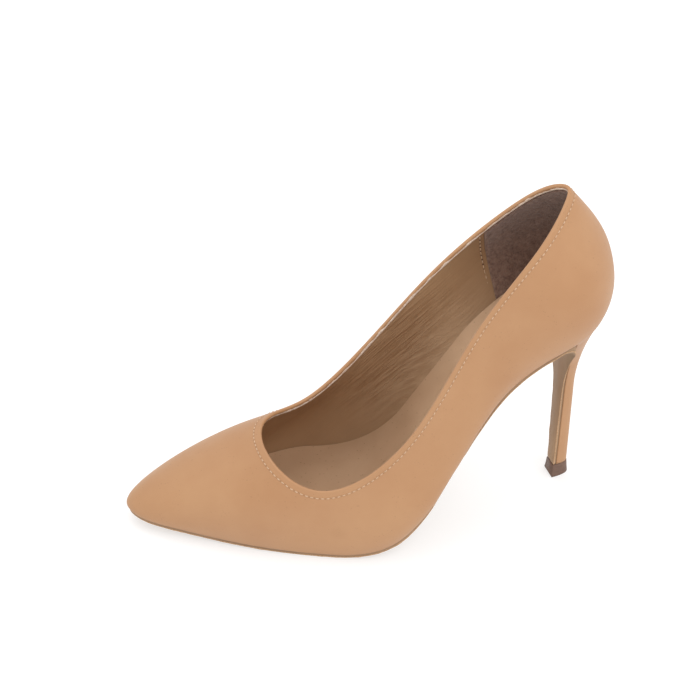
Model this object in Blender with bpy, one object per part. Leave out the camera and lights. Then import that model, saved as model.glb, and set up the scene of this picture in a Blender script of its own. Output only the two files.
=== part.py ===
"""Stiletto pump for the left foot: upper, insole, outsole, covered heel and top piece.

The shoe is worked out in millimetres on a straight last and then swung onto the last's curved
centre line. On the straight last s runs from heel to toe, y to the outside of the foot and z up.
In the model +X points to the toe, +Y to the wearer's left and +Z up, with the origin on the
floor under the middle of the shoe.
"""
import math

import bmesh
import bpy
import numpy as np

MM = 0.001

# Overall sizes
LENGTH = 218.0  # reference line behind the heel to the toe
HEEL_HEIGHT = 93.5  # feather edge above the floor at the back of the seat
BALL_WIDTH = 71.8
WAIST_WIDTH = 44.7
SEAT_WIDTH = 46.3
TOE_WIDTH = 28.4
COUNTER_HEIGHT = 60.0  # topline above the feather edge at the back
SWING = 11.0  # degrees between the heel's axis and the line to the toe

# Walls and the gap between pieces
WALL = 1.7
INSOLE = 2.6
SOLE = 2.0
FLAP = 1.2
GAP = 0.3
SOLE_INSET = 0.8
HEEL_INSET = 0.35
TOE_ROOM = 3.8  # insole stops short of the upper's toe
LIP = 0.45  # rise of the wall's rounded top edge, as a share of WALL

# Heel
BREAST = 35.5  # breast line at the seat, from the reference line
SWEEP = 5.5  # how far the breast curves back from there into the stem
SLANT = 4.2  # how far the stem comes forward again at its foot
FOOT_FRONT = BREAST - SWEEP + SLANT
STEM_TOP = 5.6  # stem front to back, high up
NECK = 40.0  # drop over which the seat narrows to the stem
TIP_HEIGHT = 6.0
TIP_LENGTH = 5.8
TIP_WIDTH = 6.5
TIP_FLARE = 0.65
STEM_TAPER = 2.2  # how much wider each side of the stem is at its top
FLAP_INSET = 0.12  # each side of the sole's flap, in from the breast's corner
TIP_MARGIN = 0.15  # how far the top piece stands out past the flap and the stem
SOLE_BEND = 6.5  # run ahead of the flap over which the sole turns down into it
BEND_BEHIND = 1.5  # radii of that turn against the heel and on the open side
BEND_AHEAD = 4.0

# Underside of the last from the side
SEAT_BACK = 0.071 * LENGTH
SEAT_LENGTH = 0.25 * LENGTH  # where the seat and shank lines would meet
SEAT_SLOPE = 19.4
SHANK_RADIUS = 83.0
BALL_RADIUS = 49.0
TREAD_START = 0.615 * LENGTH
TREAD = 0.046 * LENGTH
TOE_SPRING = 6.2
TWIST = 6.5  # how much higher the inside edge stands at the waist
TWIST_AT = 0.368 * LENGTH
TWIST_SPAN = 0.242 * LENGTH

# Feather edge, station and half width, outside and inside of the foot
FEATHER_OUT = [
    (SEAT_BACK + 5, 0.330 * SEAT_WIDTH),
    (SEAT_BACK + 18, 0.502 * SEAT_WIDTH),
    (0.230 * LENGTH, 0.478 * SEAT_WIDTH),
    (0.362 * LENGTH, 0.531 * WAIST_WIDTH),
    (0.488 * LENGTH, 0.497 * BALL_WIDTH),
    (0.577 * LENGTH, 0.484 * BALL_WIDTH),
    (0.754 * LENGTH, 0.330 * BALL_WIDTH),
    (0.895 * LENGTH, 0.450 * TOE_WIDTH),
    (0.968 * LENGTH, 0.215 * TOE_WIDTH),
]
FEATHER_IN = [
    (SEAT_BACK + 5, 0.330 * SEAT_WIDTH),
    (SEAT_BACK + 18, 0.502 * SEAT_WIDTH),
    (0.230 * LENGTH, 0.478 * SEAT_WIDTH),
    (0.362 * LENGTH, 0.467 * WAIST_WIDTH),
    (0.492 * LENGTH, 0.385 * BALL_WIDTH),
    (0.640 * LENGTH, 0.510 * BALL_WIDTH),
    (0.787 * LENGTH, 0.360 * BALL_WIDTH),
    (0.895 * LENGTH, 0.570 * TOE_WIDTH),
    (0.968 * LENGTH, 0.365 * TOE_WIDTH),
]
TOE_POINT = (LENGTH - 1.5, -2.2)

# Topline: station, half width and height over the feather edge
COLLAR_BACK = (0.1415 * LENGTH, 0.0, COUNTER_HEIGHT)
TOPLINE_OUT = [
    (0.160 * LENGTH, 7.0, COUNTER_HEIGHT - 0.8),
    (0.225 * LENGTH, 18.3, 56.0),
    (0.344 * LENGTH, 21.5, 48.0),
    (0.482 * LENGTH, 31.5, 43.0),
    (0.634 * LENGTH, 31.5, 33.2),
    (0.7175 * LENGTH, 19.6, 39.4),
]
TOPLINE_IN = [
    (0.160 * LENGTH, 7.0, COUNTER_HEIGHT - 0.8),
    (0.225 * LENGTH, 20.0, 49.5),
    (0.344 * LENGTH, 25.0, 52.0),
    (0.482 * LENGTH, 30.0, 55.0),
    (0.634 * LENGTH, 24.8, 38.5),
    (0.709 * LENGTH, 13.8, 40.4),
]
THROAT = (0.736 * LENGTH, -2.4, 41.2)

# How the wall leaves the feather edge and reaches the topline, from heel to toe
STATIONS = [0, 0.16, 0.36, 0.60, 0.82, 1.0]
FLARE = [21, 28, 44, 22, 26, 34]
LEAN = [34, 27, 8, 14, 38, 67]
PULL_LOW = [0.43, 0.47, 0.45, 0.38, 0.26, 0.09]
PULL_HIGH = [0.34, 0.33, 0.31, 0.33, 0.40, 0.47]
LEAD = 0.07  # how far the ribs' tops run ahead of their feet, as a share of the topline

COLUMNS = 54  # ribs to a side
ROWS = 11


def spline(points):
    """Closed cubic spline through points, and its knots."""
    n = len(points)
    chords = np.diff(np.vstack([points, points[:1]]), axis=0)
    t = np.concatenate([[0], np.cumsum(np.sqrt(np.linalg.norm(chords, axis=1)))])
    h = np.diff(t)
    a = np.zeros((n, n))
    r = np.zeros(points.shape)
    for i in range(n):
        a[i, i - 1] += h[i - 1]
        a[i, i] += 2 * (h[i - 1] + h[i])
        a[i, (i + 1) % n] += h[i]
        r[i] = 6 * (chords[i] / h[i] - chords[i - 1] / h[i - 1])
    m = np.linalg.solve(a, r)

    def at(x, slope=False):
        x = np.mod(np.asarray(x, float), t[-1])
        i = np.clip(np.searchsorted(t, x, side="right") - 1, 0, n - 1)
        j = (i + 1) % n
        step = h[i][:, None]
        p = (t[i + 1] - x)[:, None] / step
        q = 1 - p
        if slope:
            bend = (1 - 3 * p * p) * m[i] + (3 * q * q - 1) * m[j]
            return (points[j] - points[i]) / step + bend * step / 6
        bend = (p**3 - p) * m[i] + (q**3 - q) * m[j]
        return p * points[i] + q * points[j] + bend * step * step / 6

    return at, t


def ease(values, share):
    """Smooth curve through one value for each of STATIONS, level at both ends."""
    k = np.array(STATIONS, float)
    v = np.array(values, float)
    m = np.gradient(v, k)
    m[0] = m[-1] = 0
    i = np.clip(np.searchsorted(k, share, side="right") - 1, 0, len(k) - 2)
    h = k[i + 1] - k[i]
    t = (share - k[i]) / h
    ends = (1 + 2 * t) * (1 - t) ** 2 * v[i] + t * t * (3 - 2 * t) * v[i + 1]
    return ends + t * (1 - t) ** 2 * h * m[i] + t * t * (t - 1) * h * m[i + 1]


def spread(steps, pinch):
    """Steps from 0 to 1, closer together at both ends."""
    t = np.linspace(0, 1, steps + 1)
    return t - pinch * np.sin(2 * math.pi * t) / (2 * math.pi)


def swing(points):
    """Points of the straight last moved onto the curved centre line."""
    points = np.asarray(points, float)
    s, y = points[..., 0], points[..., 1]
    start = FOOT_FRONT - TIP_LENGTH / 2
    span = LENGTH - start
    slope = math.tan(math.radians(SWING))
    u = (s - start) / span
    bow = slope * span * (u - 1.45 * u**2 + 0.45 * u**3)
    side = np.where(u < 0, slope * (s - start), bow)
    turn = np.where(u < 0, slope, slope * (1 - 2.9 * u + 1.35 * u**2))
    n = np.sqrt(1 + turn * turn)
    return np.stack([s - y * turn / n, side + y / n, points[..., 2]], -1)


class Underside:
    """Bottom of the last: seat line, shank arc, shank line, ball arc, tread and toe spring."""

    def __init__(self):
        self.floor = SOLE + GAP
        self.seat = math.radians(SEAT_SLOPE)
        self.meet = HEEL_HEIGHT - (SEAT_LENGTH - SEAT_BACK) * math.tan(self.seat)
        run = TREAD_START - SEAT_LENGTH
        rise = self.meet - (self.floor + BALL_RADIUS)
        self.shank = math.atan2(rise, run) + math.asin(BALL_RADIUS / math.hypot(run, rise))
        tangent = SHANK_RADIUS * math.tan((self.shank - self.seat) / 2)
        self.seat_end = SEAT_LENGTH - tangent * math.cos(self.seat)
        self.shank_start = SEAT_LENGTH + tangent * math.cos(self.shank)
        self.shank_end = TREAD_START - BALL_RADIUS * math.sin(self.shank)
        self.arc_s = self.seat_end - SHANK_RADIUS * math.sin(self.seat)
        top = self.meet + tangent * math.sin(self.seat)
        self.arc_z = top - SHANK_RADIUS * math.cos(self.seat)
        self.tread_end = TREAD_START + TREAD

    def pick(self, s, toe, tread, ball, shank, arc, seat):
        limits = (self.tread_end, TREAD_START, self.shank_end, self.shank_start, self.seat_end)
        return np.select([s > limit for limit in limits], [toe, tread, ball, shank, arc], seat)

    def angle(self, s):
        """Slope, rising toward the heel."""
        past = np.clip(s - self.tread_end, 0, None)
        toe = -np.arctan(2 * TOE_SPRING * past / (LENGTH - self.tread_end) ** 2)
        ball = np.arcsin(np.clip((TREAD_START - s) / BALL_RADIUS, 0, 1))
        arc = np.arcsin(np.clip((s - self.arc_s) / SHANK_RADIUS, -1, 1))
        return self.pick(s, toe, 0 * s, ball, 0 * s + self.shank, arc, 0 * s + self.seat)

    def twist(self, s, y):
        """Extra height toward the inside of the foot at the waist."""
        near = np.cos(np.clip((s - TWIST_AT) / TWIST_SPAN, -1, 1) * math.pi / 2) ** 2
        out, ins = (np.interp(s, *zip(*edge)) for edge in (FEATHER_OUT, FEATHER_IN))
        return TWIST * near * (out - y) / (out + ins)

    def z(self, s, y, above=0.0):
        """Height of the surface that lies a distance above this one."""
        s = np.asarray(s, float)
        past = np.clip(s - self.tread_end, 0, None) / (LENGTH - self.tread_end)
        toe = self.floor + TOE_SPRING * past**2
        dip = np.clip(BALL_RADIUS**2 - (TREAD_START - s) ** 2, 0, None)
        ball = self.floor + BALL_RADIUS - np.sqrt(dip)
        shank = self.meet - (s - SEAT_LENGTH) * math.tan(self.shank)
        arc = self.arc_z + np.sqrt(np.clip(SHANK_RADIUS**2 - (s - self.arc_s) ** 2, 0, None))
        seat = HEEL_HEIGHT - (s - SEAT_BACK) * math.tan(self.seat)
        level = self.pick(s, toe, self.floor + 0 * s, ball, shank, arc, seat)
        return level + self.twist(s, np.asarray(y, float)) + above / np.cos(self.angle(s))


def outward(slopes, points):
    """Unit normals of a plan curve, away from its middle."""
    n = np.column_stack([slopes[:, 1], -slopes[:, 0]])
    n /= np.linalg.norm(n, axis=1)[:, None]
    return -n if (n * (points - points.mean(0))).sum() < 0 else n


class Last:
    """The shape the shoe is pulled over: ribs from the feather edge up to the topline."""

    def __init__(self):
        self.under = Underside()
        inside = [(s, -y) for s, y in FEATHER_IN]
        feather = [(SEAT_BACK, 0)] + FEATHER_OUT + [TOE_POINT] + inside[::-1]
        inside = [(s, -y, h) for s, y, h in TOPLINE_IN]
        topline = np.array([COLLAR_BACK] + TOPLINE_OUT + [THROAT] + inside[::-1], float)
        topline[:, 2] += self.under.z(topline[:, 0], 0)
        self.feather = *spline(np.array(feather, float)), len(FEATHER_OUT) + 1
        self.topline = *spline(topline), len(TOPLINE_OUT) + 1

    def trace(self, curve, share):
        """Points and slopes at shares of the way to the toe, then back along the inside."""
        at, knots, toe = curve
        halves = []
        for first, last, wanted in ((0, toe, share), (toe, -1, 1 - share[::-1])):
            t = np.linspace(knots[first], knots[last], 500)
            steps = np.linalg.norm(np.diff(at(t)[:, :2], axis=0), axis=1)
            length = np.concatenate([[0], np.cumsum(steps)])
            length[-1] = length[-2] + steps[-1]
            halves.append(np.interp(wanted, length / length[-1], t))
        t = np.concatenate([halves[0], halves[1][1:-1]])
        return at(t), at(t, slope=True)

    def wall(self, share, rise):
        """Outer face of the upper: a row of points for each step of rise to the topline."""
        foot, foot_slope = self.trace(self.feather, share)
        ahead = share + LEAD * np.sin(math.pi * share) ** 2
        head, head_slope = self.trace(self.topline, ahead)
        along = np.concatenate([share, share[::-1][1:-1]])
        out = outward(foot_slope, foot)
        top_out = outward(head_slope[:, :2], head[:, :2])
        foot = np.column_stack([foot, self.under.z(foot[:, 0], foot[:, 1])])
        flare = np.radians(ease(FLARE, along))[:, None]
        lean = np.radians(ease(LEAN, along))[:, None]
        reach = np.linalg.norm(head - foot, axis=1)[:, None]
        start = np.hstack([out * np.sin(flare), np.cos(flare)])
        finish = np.hstack([-top_out * np.sin(lean), np.cos(lean)])
        low = foot + start * reach * ease(PULL_LOW, along)[:, None]
        high = head - finish * reach * ease(PULL_HIGH, along)[:, None]
        w = np.asarray(rise, float)[:, None, None]
        lower = (1 - w) ** 3 * foot + 3 * w * (1 - w) ** 2 * low
        upper_half = 3 * w * w * (1 - w) * high + w**3 * head
        return lower + upper_half, out, flare, finish

    def outline(self, inset):
        """Outline set in from the feather edge: half widths at a station, and its two ends.

        inset is a distance, or a function of the flare.
        """
        share = spread(500, 0.8)
        edge, slopes = self.trace(self.feather, share)
        along = np.concatenate([share, share[::-1][1:-1]])
        flare = np.radians(ease(FLARE, along))[:, None]
        edge = edge - outward(slopes, edge) * (inset(flare) if callable(inset) else inset)
        toe = len(share) - 1
        out = edge[: toe + 1]
        ins = np.vstack([edge[toe:], edge[:1]])[::-1]
        ends = max(out[0, 0], ins[0, 0]), min(out[-1, 0], ins[-1, 0])
        return lambda s: (np.interp(s, *out.T), np.interp(s, *ins.T)), *ends


def face_normals(grid):
    """Unit normals of a face whose columns close on themselves, pointing out."""
    along = np.roll(grid, -1, axis=1) - np.roll(grid, 1, axis=1)
    n = np.cross(along, np.gradient(grid, axis=0))
    n /= np.linalg.norm(n, axis=2)[:, :, None]
    return -n if (n * (grid - grid.mean(axis=(0, 1)))).sum() < 0 else n


def fillet(start, corner, end, radius, steps):
    """Arc that rounds a corner between two straight runs."""
    start, corner, end = (np.array(p, float) for p in (start, corner, end))
    a = (start - corner) / np.linalg.norm(start - corner)
    b = (end - corner) / np.linalg.norm(end - corner)
    half = math.acos(a @ b) / 2
    centre = corner + (a + b) / np.linalg.norm(a + b) * radius / math.sin(half)
    a = corner + a * radius / math.tan(half) - centre
    b = corner + b * radius / math.tan(half) - centre
    sweep = math.pi - 2 * half
    t = np.linspace(0, 1, steps)[:, None]
    return centre + (a * np.sin((1 - t) * sweep) + b * np.sin(t * sweep)) / math.sin(sweep)


def d_section(front, length, half, steps=10):
    """Plan of a heel from one front corner round its back to the other."""
    t = np.linspace(0, math.pi / 2, steps)
    s = front - length * np.sin(t) ** 0.85
    y = half * np.cos(t) ** 0.72
    y[-1] = 0
    return np.concatenate([np.column_stack([s, y]), np.column_stack([s, -y])[::-1][1:]])


def upper(last):
    share = spread(COLUMNS, 0.55)
    face, out, flare, finish = last.wall(share, np.linspace(0, 1, ROWS + 1))
    lining = face - face_normals(face) * WALL
    foot = face[0, :, :2] - out * WALL / np.cos(flare)
    lining[0] = np.column_stack([foot, last.under.z(foot[:, 0], foot[:, 1])])
    lip = (face[-1] + lining[-1]) / 2 + finish * WALL * LIP
    return np.concatenate([face, lip[None], lining[::-1]]), True


def insole(last):
    under = last.under
    edge, back, toe = last.outline(lambda flare: WALL / np.cos(flare) + 1.7 * GAP)
    toe -= TOE_ROOM
    s = back + (toe - back) * (0.0001 + 0.9998 * spread(100, 0.8))
    share = np.clip((s - SEAT_BACK) / (LENGTH - SEAT_BACK), 0, 1)
    grow = 0.6 * INSOLE * np.tan(np.radians(ease(FLARE, share))) / np.cos(under.angle(s))
    out, ins = edge(s)
    from_middle = (2 * s - back - toe) / (toe - back)
    turn = np.clip(8 * np.abs(from_middle) - 7, 0, 1) * math.pi / 2
    top = s + grow * np.sin(turn) * np.sign(from_middle)
    wide = grow * np.cos(turn)
    corners = (
        (top, out + wide, INSOLE),
        (top, (out + ins) / 2, INSOLE),
        (top, ins - wide, INSOLE),
        (s, ins, 0),
        (s, (out + ins) / 2, 0),
        (s, out, 0),
    )
    return np.stack([np.column_stack([p, y, under.z(p, y, h)]) for p, y, h in corners], axis=1), False


class Heel:
    """What the heel, its top piece and the sole's flap share."""

    def __init__(self, last):
        self.under = last.under
        self.edge, self.back, _ = last.outline(HEEL_INSET)
        self.foot = TIP_HEIGHT + GAP
        self.top = float(self.under.z(BREAST, 0, -GAP))
        self.drop = self.top - self.foot
        below = NECK + (self.drop - NECK) * np.linspace(0, 1, 6)
        self.depths = np.concatenate([[0, 1.5, 3.5, 6, 9.5, 12.5, 16.5, 21, 26, 32], below])

    def narrowing(self, depth):
        return 1 - (1 - np.clip(depth / NECK, 0, 1)) ** 2

    def stem(self, depth):
        """Half width and length of the stem's own section."""
        up = 1 - min(max(depth / self.drop, 0), 1)
        length = TIP_LENGTH - 0.4 + (STEM_TOP - TIP_LENGTH) * up**1.6
        return TIP_WIDTH / 2 + STEM_TAPER * up, length

    def lean(self, z):
        """How far forward of the breast line the heel's front stands at a height."""
        depth = self.top - z
        return self.narrowing(depth) * (SLANT * depth / self.drop - SWEEP)

    def front(self, depth):
        """Half widths of the breast, outside and inside."""
        n = self.narrowing(depth)
        half = self.stem(depth)[0]
        out, ins = self.edge(BREAST)
        return out * (1 - n) + half * n, ins * (1 - n) - half * n


def heel(last):
    h = Heel(last)
    t = np.linspace(0, math.pi / 2, 10)
    s = BREAST - (BREAST - h.back - 0.01) * np.sin(t)
    out, ins = h.edge(s)
    seat = np.concatenate([np.column_stack([s, out]), np.column_stack([s, ins])[::-1][1:]])
    seat[len(t) - 1, 1] = (out[-1] + ins[-1]) / 2
    rings = []
    for depth in h.depths:
        n = h.narrowing(depth)
        half, length = h.stem(depth)
        ring = seat * (1 - n) + d_section(BREAST, length, half) * n
        roof = h.under.z(ring[:, 0], ring[:, 1], -GAP)
        z = h.foot + (roof - h.foot) * (1 - depth / h.drop)
        rings.append(np.column_stack([ring[:, 0] + h.lean(h.top - depth), ring[:, 1], z]))
    return np.array(rings), False


def outsole(last):
    h = Heel(last)
    under = last.under
    edge, _, toe = last.outline(SOLE_INSET)
    front = BREAST + GAP
    end = front + FLAP + SOLE_BEND
    s = toe - 0.03 - (toe - 0.03 - end) * np.linspace(0, 1, 90) ** 1.4
    out, ins = edge(s)
    middle = (out + ins) / 2
    top = [(y, GAP) for y in (out, middle, ins)]
    corners = top + [(y, GAP + SOLE) for y in (ins, middle, out)]
    plate = np.stack([np.column_stack([s, y, under.z(s, y, -depth)]) for y, depth in corners], axis=1)

    bends = []
    sides = (front, GAP, BEND_BEHIND), (front + FLAP, GAP + SOLE, BEND_AHEAD)
    for at, depth, radius in sides:
        far, corner = (float(under.z(p, 0, -depth) - under.twist(p, 0)) for p in (end, at))
        below = corner - SOLE_BEND
        turn_from = (at + h.lean(corner), corner)
        bends.append(fillet((end, far), turn_from, (at + h.lean(below), below), radius, 7))
    turn = []
    for back, ahead in zip(*bends):
        ring = []
        for p, shares in ((back, (0, 0.5, 1)), (ahead, (1, 0.5, 0))):
            out, ins = h.front(h.top - min(p[1], h.top - 0.5))
            blend = np.clip((p[0] - front - h.lean(p[1])) / (end - front), 0, 1)
            edge_out, edge_in = edge(p[0])
            for share in shares:
                wide = out + (ins - out) * share
                y = wide + (edge_out + (edge_in - edge_out) * share - wide) * blend
                ring.append((p[0], y, p[1] + float(under.twist(p[0], y))))
        turn.append(ring)
    flap = []
    for z in h.top - h.depths[4:]:
        out, ins = h.front(h.top - z)
        out, ins = out - FLAP_INSET, ins + FLAP_INSET
        middle = (out + ins) / 2
        at = front + h.lean(z)
        behind = [(at, y, z) for y in (out, middle, ins)]
        flap.append(behind + [(at + FLAP, y, z) for y in (ins, middle, out)])
    return np.concatenate([plate, turn, flap]), False


def heel_tip(last):
    front = FOOT_FRONT + GAP + FLAP + TIP_MARGIN
    length = GAP + FLAP + TIP_LENGTH
    half = (TIP_WIDTH + TIP_MARGIN) / 2
    rings = []
    for z, proud in ((TIP_HEIGHT, 0.0), (1.0, 0.85 * TIP_FLARE), (0.0, TIP_FLARE)):
        plan = d_section(front + proud, length + 1.4 * proud, half + proud)
        rings.append(np.column_stack([plan, np.full(len(plan), z)]))
    return np.array(rings), False


PARTS = {
    upper: ("smooth nude leather", (0.60, 0.35, 0.18, 1), 0.45),
    insole: ("sock lining", (0.38, 0.24, 0.15, 1), 0.75),
    outsole: ("sole leather", (0.36, 0.25, 0.15, 1), 0.6),
    heel: ("heel cover leather", (0.58, 0.34, 0.17, 1), 0.45),
    heel_tip: ("top piece plastic", (0.12, 0.07, 0.045, 1), 0.5),
}


def material(name, colour, roughness):
    made = bpy.data.materials.new(name)
    made.use_nodes = True
    shader = made.node_tree.nodes["Principled BSDF"]
    shader.inputs["Base Color"].default_value = colour
    shader.inputs["Roughness"].default_value = roughness
    return made


def add_part(name, rings, loops, finish, stand):
    """One closed body from rings joined in order, capped unless the last joins the first."""
    bm = bmesh.new()
    rows = [[bm.verts.new(p * MM) for p in ring] for ring in rings]
    for a, b in zip(rows, rows[1:] + rows[:1] if loops else rows[1:]):
        for i in range(len(a)):
            j = (i + 1) % len(a)
            bm.faces.new((a[i], a[j], b[j], b[i]))
    for row in () if loops else (rows[0], rows[-1]):
        for i in range(len(row) // 2):
            j = len(row) - 1 - i
            strip = row[i], row[i + 1], row[j - 1], row[j]
            strip = list(dict.fromkeys(strip))
            if len(strip) > 2:
                bm.faces.new(strip)
    bmesh.ops.remove_doubles(bm, verts=bm.verts, dist=1e-7)
    bmesh.ops.triangulate(bm, faces=bm.faces, quad_method="SHORT_EDGE")
    bmesh.ops.recalc_face_normals(bm, faces=bm.faces)
    mesh = bpy.data.meshes.new(name)
    bm.to_mesh(mesh)
    bm.free()
    mesh.shade_smooth()
    mesh.set_sharp_from_angle(angle=math.radians(40))
    mesh.materials.append(material(*finish))
    ob = bpy.data.objects.new(name, mesh)
    ob.parent = stand
    bpy.context.collection.objects.link(ob)


def main():
    for ob in list(bpy.data.objects):
        bpy.data.objects.remove(ob, do_unlink=True)
    last = Last()
    made = [(part.__name__, *part(last), finish) for part, finish in PARTS.items()]
    made = [(name, swing(rings), loops, finish) for name, rings, loops, finish in made]
    points = np.vstack([rings.reshape(-1, 3) for _, rings, _, _ in made])
    middle = (points.min(0) + points.max(0)) / 2
    stand = bpy.data.objects.new("shoe", None)
    stand.location = (-middle[0] * MM, -middle[1] * MM, 0)
    bpy.context.collection.objects.link(stand)
    for name, rings, loops, finish in made:
        add_part(name, rings, loops, finish, stand)


main()
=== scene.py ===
"""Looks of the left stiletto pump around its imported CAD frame.

The last's sizes and curves repeat those of the CAD part, so every piece lies where the CAD says.
"""
import math

import bmesh
import bpy
import numpy as np
from mathutils import Matrix, Vector


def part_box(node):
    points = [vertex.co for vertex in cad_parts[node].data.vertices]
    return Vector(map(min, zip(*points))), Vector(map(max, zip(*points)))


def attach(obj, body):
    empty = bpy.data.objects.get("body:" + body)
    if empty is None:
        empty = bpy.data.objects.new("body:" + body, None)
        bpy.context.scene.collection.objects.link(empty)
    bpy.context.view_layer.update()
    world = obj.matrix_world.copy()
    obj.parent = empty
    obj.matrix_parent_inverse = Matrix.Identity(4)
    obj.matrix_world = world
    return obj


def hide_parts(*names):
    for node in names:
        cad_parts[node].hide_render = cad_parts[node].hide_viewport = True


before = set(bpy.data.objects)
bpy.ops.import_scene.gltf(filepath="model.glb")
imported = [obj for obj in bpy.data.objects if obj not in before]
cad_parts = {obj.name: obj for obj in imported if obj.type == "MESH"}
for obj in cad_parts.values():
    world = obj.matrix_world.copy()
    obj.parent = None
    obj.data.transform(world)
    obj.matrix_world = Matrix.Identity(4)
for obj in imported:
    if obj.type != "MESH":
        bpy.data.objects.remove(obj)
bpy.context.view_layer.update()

MM = 0.001

# Overall sizes
LENGTH = 218.0  # reference line behind the heel to the toe
HEEL_HEIGHT = 93.5  # feather edge above the floor at the back of the seat
BALL_WIDTH = 71.8
WAIST_WIDTH = 44.7
SEAT_WIDTH = 46.3
TOE_WIDTH = 28.4
COUNTER_HEIGHT = 60.0  # topline above the feather edge at the back
SWING = 11.0  # degrees between the heel's axis and the line to the toe

# Walls and the gap between pieces
WALL = 1.7
INSOLE = 2.6
SOLE = 2.0
FLAP = 1.2
GAP = 0.3
SOLE_INSET = 0.8
HEEL_INSET = 0.35
TOE_ROOM = 3.8  # insole stops short of the upper's toe

# Heel
BREAST = 35.5  # breast line at the seat, from the reference line
SWEEP = 5.5  # how far the breast curves back from there into the stem
SLANT = 4.2  # how far the stem comes forward again at its foot
FOOT_FRONT = BREAST - SWEEP + SLANT
STEM_TOP = 5.6  # stem front to back, high up
NECK = 40.0  # drop over which the seat narrows to the stem
TIP_HEIGHT = 6.0
TIP_LENGTH = 5.8
TIP_WIDTH = 6.5
TIP_FLARE = 0.65
STEM_TAPER = 2.2  # how much wider each side of the stem is at its top
FLAP_INSET = 0.12  # each side of the sole's flap, in from the breast's corner
TIP_MARGIN = 0.15  # how far the top piece stands out past the flap and the stem
SOLE_BEND = 6.5  # run ahead of the flap over which the sole turns down into it
BEND_BEHIND = 1.5  # radii of that turn against the heel and on the open side
BEND_AHEAD = 4.0

# Underside of the last from the side
SEAT_BACK = 0.071 * LENGTH
SEAT_LENGTH = 0.25 * LENGTH  # where the seat and shank lines would meet
SEAT_SLOPE = 19.4
SHANK_RADIUS = 83.0
BALL_RADIUS = 49.0
TREAD_START = 0.615 * LENGTH
TREAD = 0.046 * LENGTH
TOE_SPRING = 6.2
TWIST = 6.5  # how much higher the inside edge stands at the waist
TWIST_AT = 0.368 * LENGTH
TWIST_SPAN = 0.242 * LENGTH

# Feather edge, station and half width, outside and inside of the foot
FEATHER_OUT = [
    (SEAT_BACK + 5, 0.330 * SEAT_WIDTH),
    (SEAT_BACK + 18, 0.502 * SEAT_WIDTH),
    (0.230 * LENGTH, 0.478 * SEAT_WIDTH),
    (0.362 * LENGTH, 0.531 * WAIST_WIDTH),
    (0.488 * LENGTH, 0.497 * BALL_WIDTH),
    (0.577 * LENGTH, 0.484 * BALL_WIDTH),
    (0.754 * LENGTH, 0.330 * BALL_WIDTH),
    (0.895 * LENGTH, 0.450 * TOE_WIDTH),
    (0.968 * LENGTH, 0.215 * TOE_WIDTH),
]
FEATHER_IN = [
    (SEAT_BACK + 5, 0.330 * SEAT_WIDTH),
    (SEAT_BACK + 18, 0.502 * SEAT_WIDTH),
    (0.230 * LENGTH, 0.478 * SEAT_WIDTH),
    (0.362 * LENGTH, 0.467 * WAIST_WIDTH),
    (0.492 * LENGTH, 0.385 * BALL_WIDTH),
    (0.640 * LENGTH, 0.510 * BALL_WIDTH),
    (0.787 * LENGTH, 0.360 * BALL_WIDTH),
    (0.895 * LENGTH, 0.570 * TOE_WIDTH),
    (0.968 * LENGTH, 0.365 * TOE_WIDTH),
]
TOE_POINT = (LENGTH - 1.5, -2.2)

# Topline: station, half width and height over the feather edge
COLLAR_BACK = (0.1415 * LENGTH, 0.0, COUNTER_HEIGHT)
TOPLINE_OUT = [
    (0.160 * LENGTH, 7.0, COUNTER_HEIGHT - 0.8),
    (0.225 * LENGTH, 18.3, 56.0),
    (0.344 * LENGTH, 21.5, 48.0),
    (0.482 * LENGTH, 31.5, 43.0),
    (0.634 * LENGTH, 31.5, 33.2),
    (0.7175 * LENGTH, 19.6, 39.4),
]
TOPLINE_IN = [
    (0.160 * LENGTH, 7.0, COUNTER_HEIGHT - 0.8),
    (0.225 * LENGTH, 20.0, 49.5),
    (0.344 * LENGTH, 25.0, 52.0),
    (0.482 * LENGTH, 30.0, 55.0),
    (0.634 * LENGTH, 24.8, 38.5),
    (0.709 * LENGTH, 13.8, 40.4),
]
THROAT = (0.736 * LENGTH, -2.4, 41.2)

# How the wall leaves the feather edge and reaches the topline, from heel to toe
STATIONS = [0, 0.16, 0.36, 0.60, 0.82, 1.0]
FLARE = [21, 28, 44, 22, 26, 34]
LEAN = [34, 27, 8, 14, 38, 67]
PULL_LOW = [0.43, 0.47, 0.45, 0.38, 0.26, 0.09]
PULL_HIGH = [0.34, 0.33, 0.31, 0.33, 0.40, 0.47]
LEAD = 0.07  # how far the ribs' tops run ahead of their feet, as a share of the topline

COLUMNS = 54  # ribs to a side
ROWS = 11


def spline(points):
    """Closed cubic spline through points, and its knots."""
    n = len(points)
    chords = np.diff(np.vstack([points, points[:1]]), axis=0)
    t = np.concatenate([[0], np.cumsum(np.sqrt(np.linalg.norm(chords, axis=1)))])
    h = np.diff(t)
    a = np.zeros((n, n))
    r = np.zeros(points.shape)
    for i in range(n):
        a[i, i - 1] += h[i - 1]
        a[i, i] += 2 * (h[i - 1] + h[i])
        a[i, (i + 1) % n] += h[i]
        r[i] = 6 * (chords[i] / h[i] - chords[i - 1] / h[i - 1])
    m = np.linalg.solve(a, r)

    def at(x, slope=False):
        x = np.mod(np.asarray(x, float), t[-1])
        i = np.clip(np.searchsorted(t, x, side="right") - 1, 0, n - 1)
        j = (i + 1) % n
        step = h[i][:, None]
        p = (t[i + 1] - x)[:, None] / step
        q = 1 - p
        if slope:
            bend = (1 - 3 * p * p) * m[i] + (3 * q * q - 1) * m[j]
            return (points[j] - points[i]) / step + bend * step / 6
        bend = (p**3 - p) * m[i] + (q**3 - q) * m[j]
        return p * points[i] + q * points[j] + bend * step * step / 6

    return at, t


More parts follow.
